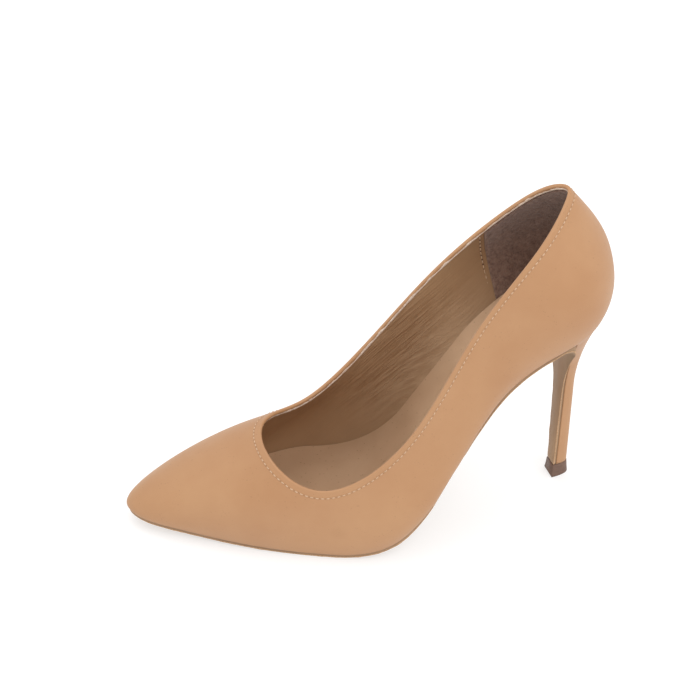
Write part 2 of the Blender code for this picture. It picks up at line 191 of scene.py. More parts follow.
def ease(values, share):
    """Smooth curve through one value for each of STATIONS, level at both ends."""
    k = np.array(STATIONS, float)
    v = np.array(values, float)
    m = np.gradient(v, k)
    m[0] = m[-1] = 0
    i = np.clip(np.searchsorted(k, share, side="right") - 1, 0, len(k) - 2)
    h = k[i + 1] - k[i]
    t = (share - k[i]) / h
    ends = (1 + 2 * t) * (1 - t) ** 2 * v[i] + t * t * (3 - 2 * t) * v[i + 1]
    return ends + t * (1 - t) ** 2 * h * m[i] + t * t * (t - 1) * h * m[i + 1]


def spread(steps, pinch):
    """Steps from 0 to 1, closer together at both ends."""
    t = np.linspace(0, 1, steps + 1)
    return t - pinch * np.sin(2 * math.pi * t) / (2 * math.pi)


def swing(points):
    """Points of the straight last moved onto the curved centre line."""
    points = np.asarray(points, float)
    s, y = points[..., 0], points[..., 1]
    start = FOOT_FRONT - TIP_LENGTH / 2
    span = LENGTH - start
    slope = math.tan(math.radians(SWING))
    u = (s - start) / span
    bow = slope * span * (u - 1.45 * u**2 + 0.45 * u**3)
    side = np.where(u < 0, slope * (s - start), bow)
    turn = np.where(u < 0, slope, slope * (1 - 2.9 * u + 1.35 * u**2))
    n = np.sqrt(1 + turn * turn)
    return np.stack([s - y * turn / n, side + y / n, points[..., 2]], -1)


class Underside:
    """Bottom of the last: seat line, shank arc, shank line, ball arc, tread and toe spring."""

    def __init__(self):
        self.floor = SOLE + GAP
        self.seat = math.radians(SEAT_SLOPE)
        self.meet = HEEL_HEIGHT - (SEAT_LENGTH - SEAT_BACK) * math.tan(self.seat)
        run = TREAD_START - SEAT_LENGTH
        rise = self.meet - (self.floor + BALL_RADIUS)
        self.shank = math.atan2(rise, run) + math.asin(BALL_RADIUS / math.hypot(run, rise))
        tangent = SHANK_RADIUS * math.tan((self.shank - self.seat) / 2)
        self.seat_end = SEAT_LENGTH - tangent * math.cos(self.seat)
        self.shank_start = SEAT_LENGTH + tangent * math.cos(self.shank)
        self.shank_end = TREAD_START - BALL_RADIUS * math.sin(self.shank)
        self.arc_s = self.seat_end - SHANK_RADIUS * math.sin(self.seat)
        top = self.meet + tangent * math.sin(self.seat)
        self.arc_z = top - SHANK_RADIUS * math.cos(self.seat)
        self.tread_end = TREAD_START + TREAD

    def pick(self, s, toe, tread, ball, shank, arc, seat):
        limits = (self.tread_end, TREAD_START, self.shank_end, self.shank_start, self.seat_end)
        return np.select([s > limit for limit in limits], [toe, tread, ball, shank, arc], seat)

    def angle(self, s):
        """Slope, rising toward the heel."""
        past = np.clip(s - self.tread_end, 0, None)
        toe = -np.arctan(2 * TOE_SPRING * past / (LENGTH - self.tread_end) ** 2)
        ball = np.arcsin(np.clip((TREAD_START - s) / BALL_RADIUS, 0, 1))
        arc = np.arcsin(np.clip((s - self.arc_s) / SHANK_RADIUS, -1, 1))
        return self.pick(s, toe, 0 * s, ball, 0 * s + self.shank, arc, 0 * s + self.seat)

    def twist(self, s, y):
        """Extra height toward the inside of the foot at the waist."""
        near = np.cos(np.clip((s - TWIST_AT) / TWIST_SPAN, -1, 1) * math.pi / 2) ** 2
        out, ins = (np.interp(s, *zip(*edge)) for edge in (FEATHER_OUT, FEATHER_IN))
        return TWIST * near * (out - y) / (out + ins)

    def z(self, s, y, above=0.0):
        """Height of the surface that lies a distance above this one."""
        s = np.asarray(s, float)
        past = np.clip(s - self.tread_end, 0, None) / (LENGTH - self.tread_end)
        toe = self.floor + TOE_SPRING * past**2
        dip = np.clip(BALL_RADIUS**2 - (TREAD_START - s) ** 2, 0, None)
        ball = self.floor + BALL_RADIUS - np.sqrt(dip)
        shank = self.meet - (s - SEAT_LENGTH) * math.tan(self.shank)
        arc = self.arc_z + np.sqrt(np.clip(SHANK_RADIUS**2 - (s - self.arc_s) ** 2, 0, None))
        seat = HEEL_HEIGHT - (s - SEAT_BACK) * math.tan(self.seat)
        level = self.pick(s, toe, self.floor + 0 * s, ball, shank, arc, seat)
        return level + self.twist(s, np.asarray(y, float)) + above / np.cos(self.angle(s))


def outward(slopes, points):
    """Unit normals of a plan curve, away from its middle."""
    n = np.column_stack([slopes[:, 1], -slopes[:, 0]])
    n /= np.linalg.norm(n, axis=1)[:, None]
    return -n if (n * (points - points.mean(0))).sum() < 0 else n


class Last:
    """The shape the shoe is pulled over: ribs from the feather edge up to the topline."""

    def __init__(self):
        self.under = Underside()
        inside = [(s, -y) for s, y in FEATHER_IN]
        feather = [(SEAT_BACK, 0)] + FEATHER_OUT + [TOE_POINT] + inside[::-1]
        inside = [(s, -y, h) for s, y, h in TOPLINE_IN]
        topline = np.array([COLLAR_BACK] + TOPLINE_OUT + [THROAT] + inside[::-1], float)
        topline[:, 2] += self.under.z(topline[:, 0], 0)
        self.feather = *spline(np.array(feather, float)), len(FEATHER_OUT) + 1
        self.topline = *spline(topline), len(TOPLINE_OUT) + 1

    def trace(self, curve, share):
        """Points and slopes at shares of the way to the toe, then back along the inside."""
        at, knots, toe = curve
        halves = []
        for first, last, wanted in ((0, toe, share), (toe, -1, 1 - share[::-1])):
            t = np.linspace(knots[first], knots[last], 500)
            steps = np.linalg.norm(np.diff(at(t)[:, :2], axis=0), axis=1)
            length = np.concatenate([[0], np.cumsum(steps)])
            length[-1] = length[-2] + steps[-1]
            halves.append(np.interp(wanted, length / length[-1], t))
        t = np.concatenate([halves[0], halves[1][1:-1]])
        return at(t), at(t, slope=True)

    def wall(self, share, rise):
        """Outer face of the upper, a row for each step of rise, and its plan normals at the foot."""
        foot, foot_slope = self.trace(self.feather, share)
        ahead = share + LEAD * np.sin(math.pi * share) ** 2
        head, head_slope = self.trace(self.topline, ahead)
        along = np.concatenate([share, share[::-1][1:-1]])
        out = outward(foot_slope, foot)
        top_out = outward(head_slope[:, :2], head[:, :2])
        foot = np.column_stack([foot, self.under.z(foot[:, 0], foot[:, 1])])
        flare = np.radians(ease(FLARE, along))[:, None]
        lean = np.radians(ease(LEAN, along))[:, None]
        reach = np.linalg.norm(head - foot, axis=1)[:, None]
        start = np.hstack([out * np.sin(flare), np.cos(flare)])
        finish = np.hstack([-top_out * np.sin(lean), np.cos(lean)])
        low = foot + start * reach * ease(PULL_LOW, along)[:, None]
        high = head - finish * reach * ease(PULL_HIGH, along)[:, None]
        w = np.asarray(rise, float)[:, None, None]
        lower = (1 - w) ** 3 * foot + 3 * w * (1 - w) ** 2 * low
        upper_half = 3 * w * w * (1 - w) * high + w**3 * head
        return lower + upper_half, out

    def outline(self, inset):
        """Outline set in from the feather edge: half widths at a station, and its two ends.

        inset is a distance, or a function of the flare.
        """
        share = spread(500, 0.8)
        edge, slopes = self.trace(self.feather, share)
        along = np.concatenate([share, share[::-1][1:-1]])
        flare = np.radians(ease(FLARE, along))[:, None]
        edge = edge - outward(slopes, edge) * (inset(flare) if callable(inset) else inset)
        toe = len(share) - 1
        out = edge[: toe + 1]
        ins = np.vstack([edge[toe:], edge[:1]])[::-1]
        ends = max(out[0, 0], ins[0, 0]), min(out[-1, 0], ins[-1, 0])
        return lambda s: (np.interp(s, *out.T), np.interp(s, *ins.T)), *ends


def face_normals(grid):
    """Unit normals of a face whose columns close on themselves, pointing out."""
    along = np.roll(grid, -1, axis=1) - np.roll(grid, 1, axis=1)
    n = np.cross(along, np.gradient(grid, axis=0))
    n /= np.linalg.norm(n, axis=2)[:, :, None]
    return -n if (n * (grid - grid.mean(axis=(0, 1)))).sum() < 0 else n


def fillet(start, corner, end, radius, steps):
    """Arc that rounds a corner between two straight runs."""
    start, corner, end = (np.array(p, float) for p in (start, corner, end))
    a = (start - corner) / np.linalg.norm(start - corner)
    b = (end - corner) / np.linalg.norm(end - corner)
    half = math.acos(a @ b) / 2
    centre = corner + (a + b) / np.linalg.norm(a + b) * radius / math.sin(half)
    a = corner + a * radius / math.tan(half) - centre
    b = corner + b * radius / math.tan(half) - centre
    sweep = math.pi - 2 * half
    t = np.linspace(0, 1, steps)[:, None]
    return centre + (a * np.sin((1 - t) * sweep) + b * np.sin(t * sweep)) / math.sin(sweep)


def d_section(front, length, half, steps):
    """Plan of a heel from one front corner round its back to the other."""
    t = np.linspace(0, math.pi / 2, steps)
    s = front - length * np.sin(t) ** 0.85
    y = half * np.cos(t) ** 0.72
    y[-1] = 0
    return np.concatenate([np.column_stack([s, y]), np.column_stack([s, -y])[::-1][1:]])


class Heel:
    """What the heel, its top piece and the sole's flap share."""

    def __init__(self, last):
        self.under = last.under
        self.edge, self.back, _ = last.outline(HEEL_INSET)
        self.foot = TIP_HEIGHT + GAP
        self.top = float(self.under.z(BREAST, 0, -GAP))
        self.drop = self.top - self.foot

    def narrowing(self, depth):
        return 1 - (1 - np.clip(depth / NECK, 0, 1)) ** 2

    def stem(self, depth):
        """Half width and length of the stem's own section."""
        up = 1 - min(max(depth / self.drop, 0), 1)
        length = TIP_LENGTH - 0.4 + (STEM_TOP - TIP_LENGTH) * up**1.6
        return TIP_WIDTH / 2 + STEM_TAPER * up, length

    def lean(self, z):
        """How far forward of the breast line the heel's front stands at a height."""
        depth = self.top - z
        return self.narrowing(depth) * (SLANT * depth / self.drop - SWEEP)

    def front(self, depth):
        """Half widths of the breast, outside and inside."""
        n = self.narrowing(depth)
        half = self.stem(depth)[0]
        out, ins = self.edge(BREAST)
        return out * (1 - n) + half * n, ins * (1 - n) - half * n


# Looks: sizes in millimetres, unless a comment says otherwise
FINE_COLUMNS = 230  # ribs to a side of the upper's visible face
FINE_ROWS = 60
EDGE_ROLL = 0.8  # radius of the folded topline edge
FOLD_HEIGHT = 0.9  # of the fold, as a share of EDGE_ROLL
FOLD_DROPS = (0.9, 2.0, 3.6)  # rows of the fold's inner side, under the topline
BACK_DROPS = (6, 12, 20)  # rows of the leather's back, below the fold
BACK_DEPTH = 1.1
LASTING_MARGIN = 3.5  # leather turned in under the foot
MARGIN_RISE = 0.15
MARGIN_BEND = 0.5  # from the feather edge to where the margin lies flat

LINING_DEPTH = 1.62  # lining's face behind the upper's
LINING_BACK = 1.2
LINING_DROP = 1.5  # lining's cut edge under the topline
LINING_STOP = 0.4  # lining ends this far above the feather edge
BACK_ROWS = (12, 4, 0.0)  # rows of the lining's back, under its cut edge
WAVE = 0.12  # height of the lining's waves
WAVE_RADIANS = 160  # along one side
WAVE_SHIFT = 5  # radians that the waves move on from the topline to the foot
WAVE_FROM, WAVE_TO = 0.3, 0.72  # the inside quarter, as shares of the topline
WAVE_CALM = 0.3  # the waves elsewhere, as a share
CUT_EDGE_DEPTH = 1.8  # middle of the lining's raw edge behind the upper's face
CUT_EDGE_RISE = 0.6
CUT_EDGE_RADIUS = 0.42
FRAY_DROP, FRAY_SWELL = 0.25, 0.16  # how fine raggedness moves and thickens that edge
TUFT_DROP, TUFT_SWELL = 0.3, 0.20  # and how wider tufts do

GRIP_START = 0.228  # front edge of the suede heel grip, as a share of the topline
GRIP_DEPTH = 2.15
GRIP_THICKNESS = 0.45
GRIP_TURN = 10  # drop at which the wall's slope is taken for all of the grip
GRIP_DROP = 0.5  # grip's top under the lining's cut edge
GRIP_STOP = 0.7  # grip ends this far above the feather edge
GRIP_THREAD_AHEAD = 0.007  # of the suede's front edge, as a share of the topline
GRIP_THREAD_DEPTH = 1.8
GRIP_THREAD_PITCH = 2.6
GRIP_THREAD_LENGTH = 1.9
GRIP_THREAD_STOP = 1.0  # its end above the feather edge

SOCK_THICKNESS = 0.9
SOCK_RIM = 0.4  # how far the sock's rim curls up the quarters
SOCK_DISH = 0.35  # how far its middle is trodden in
SOCK_GAP = 0.05  # over the insole
SOCK_SIDE = 0.15  # its outline, in from the upper's wall
SOCK_BACK = 0.3
SOCK_TOE = 0.5  # how far it runs past the insole's toe
SOCK_SPREAD = 0.9  # how much of the wall's flare its rim follows
SOCK_TAPER = 12.0  # run at each end over which it does so

STITCH_DROP = 2.5
STITCH_PITCH = 2.25
STITCH_LENGTH = 1.4
FIRST_STITCH = 0.15  # where a row starts, as a share of its pitch
LOOP_RISE = 0.17  # how far a loop's middle stands above its ends
LOOP_SUNK = 0.06  # how far its ends lie under the face
LOOP_RADIUS = 0.10  # at its ends
LOOP_SWELL = 0.16
LOOP_FLAT = 0.8  # height of the thread's section as a share of its width
HOLE_LENGTH = 0.40  # half sizes of a needle hole
HOLE_WIDTH = 0.34
HOLE_RIM = 0.02
HOLE_DEPTH = 0.12

SEAM_HEAD = 0.475  # side seam at the topline, as a share of the way to the toe
SEAM_FOOT = 0.42  # and at the feather edge
SEAM_DROP = 0.02
SEAM_STOP = 0.985  # end of the seam, as a share of the way down to the feather edge
SEAM_RADIUS = 0.24
SEAM_SUNK = 0.12
SEAM_THREAD = 1.1  # thread beside the seam
SEAM_BARE = 6  # points of the seam next to the topline, which have no thread
FLAP_EDGE_RADIUS = 0.26
FLAP_EDGE_ROUGH = 0.08
FLAP_EDGE_TOP = 4.0  # where the cut edge starts, under the seat
SOLE_TIP = 0.03  # sole stops this far short of its outline's point
HEEL_EDGE = 0.994  # size of the heel's first and last sections against their neighbours

# Top piece from the side: height, and how far out as a share of TIP_FLARE
TOP_PIECE_SIDE = [
    (6.0, -0.4),
    (5.85, -0.1),
    (5.6, 0.0),
    (4.2, 0.2),
    (2.6, 0.45),
    (1.0, 0.85),
    (0.35, 1.0),
    (0.08, 0.9),
    (0.0, 0.6),
]

# Section of the sole, round its edge: share across, pull inward and share of the thickness
SOLE_SECTION = [
    (0, 0.0, 0.0),
    (0, 0.0, 0.7),
    (0, 0.35, 1.0),
    (0.5, 0.0, 1.0),
    (1, -0.35, 1.0),
    (1, 0.0, 0.7),
    (1, 0.0, 0.0),
    (0.5, 0.0, 0.0),
]
OUTER_EDGE, INNER_EDGE = 1, 5  # rows of SOLE_SECTION where the flap's cut edges run

# The last's own coordinates meet the frame where the upper's box ends
LAST = Last()
placed = swing(LAST.wall(spread(COLUMNS, 0.55), np.linspace(0, 1, ROWS + 1))[0]).reshape(-1, 3)
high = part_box("upper")[1]
ORIGIN = np.array([placed[:, 0].max() - high.x / MM, placed[:, 1].max() - high.y / MM, 0.0])


def to_frame(points):
    return (swing(points) - ORIGIN) * MM


def unit(v):
    return v / np.linalg.norm(v, axis=-1, keepdims=True)


def srgb(r, g, b):
    """Linear colour for a screen colour given from 0 to 255."""
    c = np.array([r, g, b]) / 255
    return *np.where(c <= 0.04045, c / 12.92, ((c + 0.055) / 1.055) ** 2.4).tolist(), 1.0


def darker(colour, share):
    return tuple(share * c for c in colour[:3]) + (1.0,)


# Materials: noise and cell scales are for each metre, bump heights are in millimetres

TAN_LIGHT = srgb(182, 138, 99)
TAN_DARK = srgb(174, 128, 89)
LINING_LIGHT = srgb(172, 137, 103)
LINING_DARK = srgb(153, 118, 86)
# Paler colour painted on the lining's wrinkle crests as a highlight.
LINING_RIDGE_HIGHLIGHT = srgb(204, 170, 136)


class Nodes:
    """A material's node tree with short ways to add to it."""

    def __init__(self, name):
        self.material = bpy.data.materials.new(name)
        self.material.use_nodes = True
        self.tree = self.material.node_tree
        self.shader = self.tree.nodes["Principled BSDF"]
        self.place = self.tree.nodes.new("ShaderNodeTexCoord").outputs["Object"]

    def add(self, kind, inputs, **settings):
        made = self.tree.nodes.new("ShaderNode" + kind)
        for key, value in settings.items():
            setattr(made, key, value)
        for key, value in inputs.items():
            if isinstance(value, bpy.types.NodeSocket):
                self.tree.links.new(value, made.inputs[key])
            else:
                made.inputs[key].default_value = value
        return made

    def stretched(self, scale, turn=(0, 0, 0)):
        turned = self.add("Mapping", {"Vector": self.place, "Rotation": turn}).outputs["Vector"]
        return self.add("Mapping", {"Vector": turned, "Scale": scale}).outputs["Vector"]

    def near(self, centre, core, reach):
        """1 within core of a point, fading to 0 at reach."""
        inputs = {0: self.place, 1: centre}
        away = self.add("VectorMath", inputs, operation="DISTANCE").outputs["Value"]
        return self.fit(away, core, reach, 1.0, 0.0)

    def noise(self, scale, detail=3.0, roughness=0.5, place=None):
        inputs = {"Vector": place or self.place, "Scale": scale, "Detail": detail, "Roughness": roughness}
        return self.add("TexNoise", inputs).outputs["Fac"]

    def cells(self, scale):
        return self.add("TexVoronoi", {"Vector": self.place, "Scale": scale}).outputs["Distance"]

    def fit(self, value, low, high, to_low=0.0, to_high=1.0):
        inputs = {"Value": value, "From Min": low, "From Max": high, "To Min": to_low, "To Max": to_high}
        return self.add("MapRange", inputs).outputs["Result"]

    def sum(self, a, b):
        return self.add("Math", {0: a, 1: b}, operation="ADD").outputs[0]

    def times(self, a, b):
        return self.add("Math", {0: a, 1: b}, operation="MULTIPLY").outputs[0]

    def mix(self, share, a, b):
        """Colour between a and b. Sockets 6 and 7 are the node's colour inputs, 2 its colour output."""
        return self.add("Mix", {0: share, 6: a, 7: b}, data_type="RGBA").outputs[2]

    def bump(self, height, distance, strength=1.0, under=None):
        inputs = {"Height": height, "Distance": distance * MM, "Strength": strength}
        if under:
            inputs["Normal"] = under
        return self.add("Bump", inputs).outputs["Normal"]

    def finish(self, colour, roughness, normal=None, **fixed):
        wanted = {"Base Color": colour, "Roughness": roughness}
        if normal:
            wanted["Normal"] = normal
        for key, value in wanted.items():
            if isinstance(value, bpy.types.NodeSocket):
                self.tree.links.new(value, self.shader.inputs[key])
            else:
                self.shader.inputs[key].default_value = value
        for key, value in fixed.items():
            self.shader.inputs[key.replace("_", " ")].default_value = value
        return self.material


def leather(name, light, dark, marks_and_highlights=()):
    """Smooth calf leather: slow change of tone, fine grain, scattered pores, and round patches for stains
    and painted highlights.
    """
    n = Nodes(name)
    tone = n.fit(n.noise(28, detail=4, roughness=0.6), 0.3, 0.7)
    colour = n.mix(tone, dark, light)
    pores = n.fit(n.cells(700), 0.10, 0.22, to_low=0.30, to_high=0.0)
    sparse = n.fit(n.noise(160, detail=2), 0.50, 0.62)
    colour = n.mix(n.times(pores, sparse), colour, darker(dark, 0.45))
    # Each patch is a real stain or a painted highlight, as passed in.
    for centre, radius, share, tint in marks_and_highlights:
        near = n.near(centre, radius * 0.35, radius)
        colour = n.mix(n.times(near, share), colour, tint)
    grain = n.sum(n.noise(1500, detail=5, roughness=0.65), n.fit(n.cells(1900), 0.0, 0.6))
    normal = n.bump(grain, 0.03, strength=0.55)
    normal = n.bump(n.noise(45, detail=2), 0.6, strength=0.35, under=normal)
    rough = n.fit(n.noise(60), 0.3, 0.7, to_low=0.44, to_high=0.54)
    return n.finish(colour, rough, normal, Specular_IOR_Level=0.42)


def lining_leather(quarter):
    """Thin pigskin lining. At the inside quarter it is drawn into fine wrinkles along the wall, their
    crests painted lighter as a highlight.
    """
    n = Nodes("lining leather")
    folds = n.noise(1.0, roughness=0.6, place=n.stretched((70, 160, 900), (0.0, -0.78, 0.0)))
    drawn = n.near(quarter, 18 * MM, 48 * MM)
    ridges = n.times(n.fit(folds, 0.38, 0.62), n.fit(drawn, 0, 1, to_low=0.10, to_high=1.0))
    worn = n.fit(n.noise(20), 0.35, 0.7)
    colour = n.mix(worn, LINING_DARK, LINING_LIGHT)
    # Painted highlight: the wrinkle crests are mixed toward a paler colour.
    colour = n.mix(n.times(ridges, 0.30), colour, LINING_RIDGE_HIGHLIGHT)
    normal = n.bump(ridges, 0.22, strength=0.8)
    normal = n.bump(n.noise(1300, detail=4, roughness=0.6), 0.03, strength=0.5, under=normal)
    return n.finish(colour, 0.62, normal, Specular_IOR_Level=0.3)


def sock_leather():
    """Matt sock lining with small dark specks, a little uneven."""
    n = Nodes("sock leather")
    tone = n.fit(n.noise(18, detail=4, roughness=0.6), 0.3, 0.72)
    colour = n.mix(tone, srgb(178, 142, 110), srgb(202, 167, 134))
    specks = n.fit(n.cells(420), 0.05, 0.16, to_low=0.45, to_high=0.0)
    colour = n.mix(specks, colour, srgb(120, 90, 66))
    normal = n.bump(n.noise(900, detail=4, roughness=0.6), 0.04, strength=0.5)
    normal = n.bump(n.noise(55), 0.7, strength=0.4, under=normal)
    return n.finish(colour, 0.66, normal, Specular_IOR_Level=0.3)


def suede():
    """Brushed nap in patches that lie different ways."""
    n = Nodes("suede")
    patches = n.fit(n.noise(520, detail=5, roughness=0.75), 0.36, 0.64)
    nap = n.noise(1.0, detail=4, roughness=0.7, place=n.stretched((1600, 1600, 500), (0.3, 0.5, 0.0)))
    colour = n.mix(patches, srgb(106, 79, 66), srgb(142, 113, 98))
    colour = n.mix(n.fit(nap, 0.45, 0.75, to_high=0.45), colour, srgb(163, 139, 126))
    normal = n.bump(n.sum(nap, patches), 0.25, strength=0.7)
    return n.finish(colour, 0.95, normal, Specular_IOR_Level=0.1, Sheen_Weight=0.25, Sheen_Roughness=0.5)


def cut_leather(name, light, dark):
    """Raw fuzzy edge of cut leather."""
    n = Nodes(name)
    fibres = n.noise(1400, detail=5, roughness=0.7)
    colour = n.mix(n.fit(fibres, 0.35, 0.65), dark, light)
    return n.finish(colour, 0.95, n.bump(fibres, 0.3, strength=0.8), Specular_IOR_Level=0.1)


def sole_leather():
    """Smooth taupe sole leather with faint streaks along it."""
    n = Nodes("sole leather")
    tone = n.fit(n.noise(35, detail=4, roughness=0.6), 0.3, 0.7)
    colour = n.mix(tone, srgb(146, 116, 88), srgb(166, 135, 104))
    streaks = n.noise(1.0, roughness=0.6, place=n.stretched((60, 700, 60)))
    colour = n.mix(n.fit(streaks, 0.55, 0.75, to_high=0.3), colour, srgb(126, 97, 72))
    normal = n.bump(n.noise(1100, detail=4, roughness=0.6), 0.04, strength=0.6)
    return n.finish(colour, n.fit(tone, 0, 1, to_low=0.5, to_high=0.62), normal, Specular_IOR_Level=0.35)


def thread():
    n = Nodes("thread")
    ply = n.noise(2600, detail=2)
    colour = n.mix(n.fit(ply, 0.35, 0.65), srgb(186, 152, 120), srgb(208, 178, 148))
    return n.finish(colour, 0.7, n.bump(ply, 0.08, strength=0.8))


def moulded_plastic():
    """Hard brown plastic with pale scuffs up its sides."""
    n = Nodes("top piece plastic")
    cloud = n.fit(n.noise(500), 0.35, 0.65)
    colour = n.mix(cloud, srgb(98, 72, 58), srgb(112, 84, 69))
    scuffs = n.noise(1.0, roughness=0.7, place=n.stretched((900, 900, 120)))
    colour = n.mix(n.fit(scuffs, 0.62, 0.75, to_high=0.35), colour, srgb(146, 118, 100))
    normal = n.bump(scuffs, 0.06, strength=0.5)
    return n.finish(colour, n.fit(cloud, 0, 1, to_low=0.42, to_high=0.55), normal)


def shadowed(name, colour):
    """Dull leather darkened as painted shade in a seam or a needle hole."""
    n = Nodes(name)
    tone = n.fit(n.noise(900, detail=2), 0.3, 0.7)
    return n.finish(n.mix(tone, darker(colour, 0.6), colour), 0.9)


# Needle holes are coloured dark as painted shade.
HOLE = shadowed("needle hole", srgb(84, 52, 32))
THREAD = thread()


# Pieces


def piece(name, points, faces, material, slot):
    mesh = bpy.data.meshes.new(name)
    mesh.from_pydata(np.asarray(points).reshape(-1, 3).tolist(), [], faces)
    bm = bmesh.new()
    bm.from_mesh(mesh)
    bmesh.ops.remove_doubles(bm, verts=bm.verts, dist=1e-7)
    bmesh.ops.recalc_face_normals(bm, faces=bm.faces)
    bm.to_mesh(mesh)
    bm.free()
    mesh.shade_smooth()
    mesh.materials.append(material)
    made = bpy.data.objects.new(name, mesh)
    bpy.context.scene.collection.objects.link(made)
    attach(made, "root")
    return made


def grid_faces(rows, columns, wrap_rows=False, start=0):
    """Quads over rows of points, each row closed on itself."""
    faces = []
    for i in range(rows if wrap_rows else rows - 1):
        a, b = i * columns, (i + 1) % rows * columns
        for j in range(columns):
            k = (j + 1) % columns
            faces.append((start + a + j, start + a + k, start + b + k, start + b + j))
    return faces


def caps(rows, columns):
    return [tuple(range(columns)), tuple(range((rows - 1) * columns, rows * columns))]


def skin(name, rows, material, slot, capped=False):
    """A piece stretched over rows of points, its two ends closed if it is capped."""
    faces = grid_faces(*rows.shape[:2])
    if capped:
        faces += caps(*rows.shape[:2])
    return piece(name, rows, faces, material, slot)


def lengths(path, closed):
    ring = np.vstack([path, path[:1]]) if closed else path
    steps = np.linalg.norm(np.diff(ring, axis=0), axis=1)
    return np.concatenate([[0], np.cumsum(steps)]), ring


def along(path, normals, at, closed):
    """Points and normals of a path at distances along it."""
    t, ring = lengths(path, closed)
    lines = np.vstack([normals, normals[:1]]) if closed else normals
    at = np.mod(at, t[-1]) if closed else at
    points, found = (np.stack([np.interp(at, t, v[:, k]) for k in range(3)], -1) for v in (ring, lines))
    return points, unit(found)


def tube(name, path, normals, radius, material, slot, closed=True, flat=1.0):
    """Cord on a path, with a radius for each point and a height that is flat times its width."""
    sides = 8
    ahead = np.roll(path, -1, 0) - np.roll(path, 1, 0) if closed else np.gradient(path, axis=0)
    across = np.cross(unit(ahead), normals)
    turn = np.linspace(0, 2 * math.pi, sides, endpoint=False)[None, :, None]
    r = np.asarray(radius)[:, None, None]
    ring = path[:, None] + r * (flat * np.sin(turn) * normals[:, None] + np.cos(turn) * across[:, None])
    faces = grid_faces(len(path), sides, closed)
    if not closed:
        faces += caps(len(path), sides)
    return piece(name, ring, faces, material, slot)


def loops(name, path, normals, starts, length, slot, closed):
    """Separate loops of thread, each bulging from one needle hole to the next."""
    rings, sides = 7, 8
    t = np.linspace(0, 1, rings)
    centre, up = along(path, normals, starts[:, None] + t * length * MM, closed)
    across = np.cross(unit(np.gradient(centre, axis=1)), up)
    lift = (LOOP_RISE * np.sin(math.pi * t) ** 0.7 - LOOP_SUNK)[None, :, None] * MM
    wide = (LOOP_RADIUS + LOOP_SWELL * np.sin(math.pi * t) ** 0.5)[None, :, None, None] * MM
    turn = np.linspace(0, 2 * math.pi, sides, endpoint=False)[None, None, :, None]
    middle = (centre + up * lift)[:, :, None]
    ring = middle + wide * (LOOP_FLAT * np.sin(turn) * up[:, :, None] + np.cos(turn) * across[:, :, None])
    faces = []
    for i in range(len(starts)):
        start = i * rings * sides
        faces += grid_faces(rings, sides, start=start)
        faces += [tuple(start + k for k in cap) for cap in caps(rings, sides)]
    return piece(name, ring, faces, THREAD, slot)


def needle_holes(name, path, normals, places, slot, closed):
    """Small hollows painted dark as shade, each a cone on an oval rim."""
    sides = 10
    centre, up = along(path, normals, places, closed)
    nudge = 0.2 * MM  # along the row, to find its direction
    ahead = unit(along(path, normals, places + nudge, closed)[0] - centre)
    across = np.cross(ahead, up)
    turn = np.linspace(0, 2 * math.pi, sides, endpoint=False)[None, :, None]
    oval = HOLE_LENGTH * np.cos(turn) * ahead[:, None] + HOLE_WIDTH * np.sin(turn) * across[:, None]
    rim = centre[:, None] + oval * MM + up[:, None] * HOLE_RIM * MM
    points = np.concatenate([rim, (centre - up * HOLE_DEPTH * MM)[:, None]], axis=1)
    faces = []
    for i in range(len(centre)):
        first = i * (sides + 1)
        faces += [(first + j, first + (j + 1) % sides, first + sides) for j in range(sides)]
    return piece(name, points, faces, HOLE, slot)


def stitches(name, path, normals, slot, closed=True, pitch=STITCH_PITCH, length=STITCH_LENGTH):
    """A row of thread loops, and the needle holes between them."""
    total = lengths(path, closed)[0][-1]
    count = int(total / (pitch * MM)) - (0 if closed else 1)
    step = total / (count if closed else count + 1)
    starts = (np.arange(count) + FIRST_STITCH) * step
    row = loops(name, path, normals, starts, length, slot, closed)
    middle = (length + (step / MM - length) / 2) * MM
    holes = needle_holes(name + "_holes", path, normals, starts + middle, slot, closed)
    holes.parent = row
    return row


class Shell:
    """The upper's outer face on a fine grid, in the frame, with ways to walk down from its topline."""

    def __init__(self):
        share = spread(FINE_COLUMNS, 0.45)
        rise = 1 - (1 - np.linspace(0, 1, FINE_ROWS)) ** 1.25
        face, out = LAST.wall(share, rise)
        self.foot = face[0]
        self.out = np.column_stack([out, np.zeros(len(out))])
        self.along = np.concatenate([share, share[::-1][1:-1]])
        self.inside = np.arange(len(out)) > FINE_COLUMNS
        self.face = to_frame(face)
        self.normals = face_normals(self.face)
        steps = np.linalg.norm(np.diff(self.face[::-1], axis=0), axis=2)
        self.down = np.vstack([np.zeros(len(out)), np.cumsum(steps, axis=0)])

    def walk(self, column, drop):
        """Point and normal of one column, a distance in metres under the topline."""
        down = self.down[:, column]
        grids = self.face[::-1, column], self.normals[::-1, column]
        return [np.array([np.interp(drop, down, grid[:, k]) for k in range(3)]) for grid in grids]

    def below(self, drop, offset=0.0):
        """Points and normals a distance under the topline, offset outward, in millimetres."""
        drop = np.broadcast_to(np.asarray(drop, float), len(self.along)) * MM
        found = np.array([self.walk(j, drop[j]) for j in range(len(drop))])
        normals = unit(found[:, 1])
        return found[:, 0] + normals * offset * MM, normals

    def column(self, share, inside):
        """The column nearest a share of the topline, on the inside or the outside."""
        return int(np.argmin(np.where(self.inside == inside, np.abs(self.along - share), 9)))

    def point(self, share, rise, inside):
        """Point at a share of the topline and of the rows up from the feather edge."""
        return self.face[int(FINE_ROWS * rise), self.column(share, inside)].tolist()


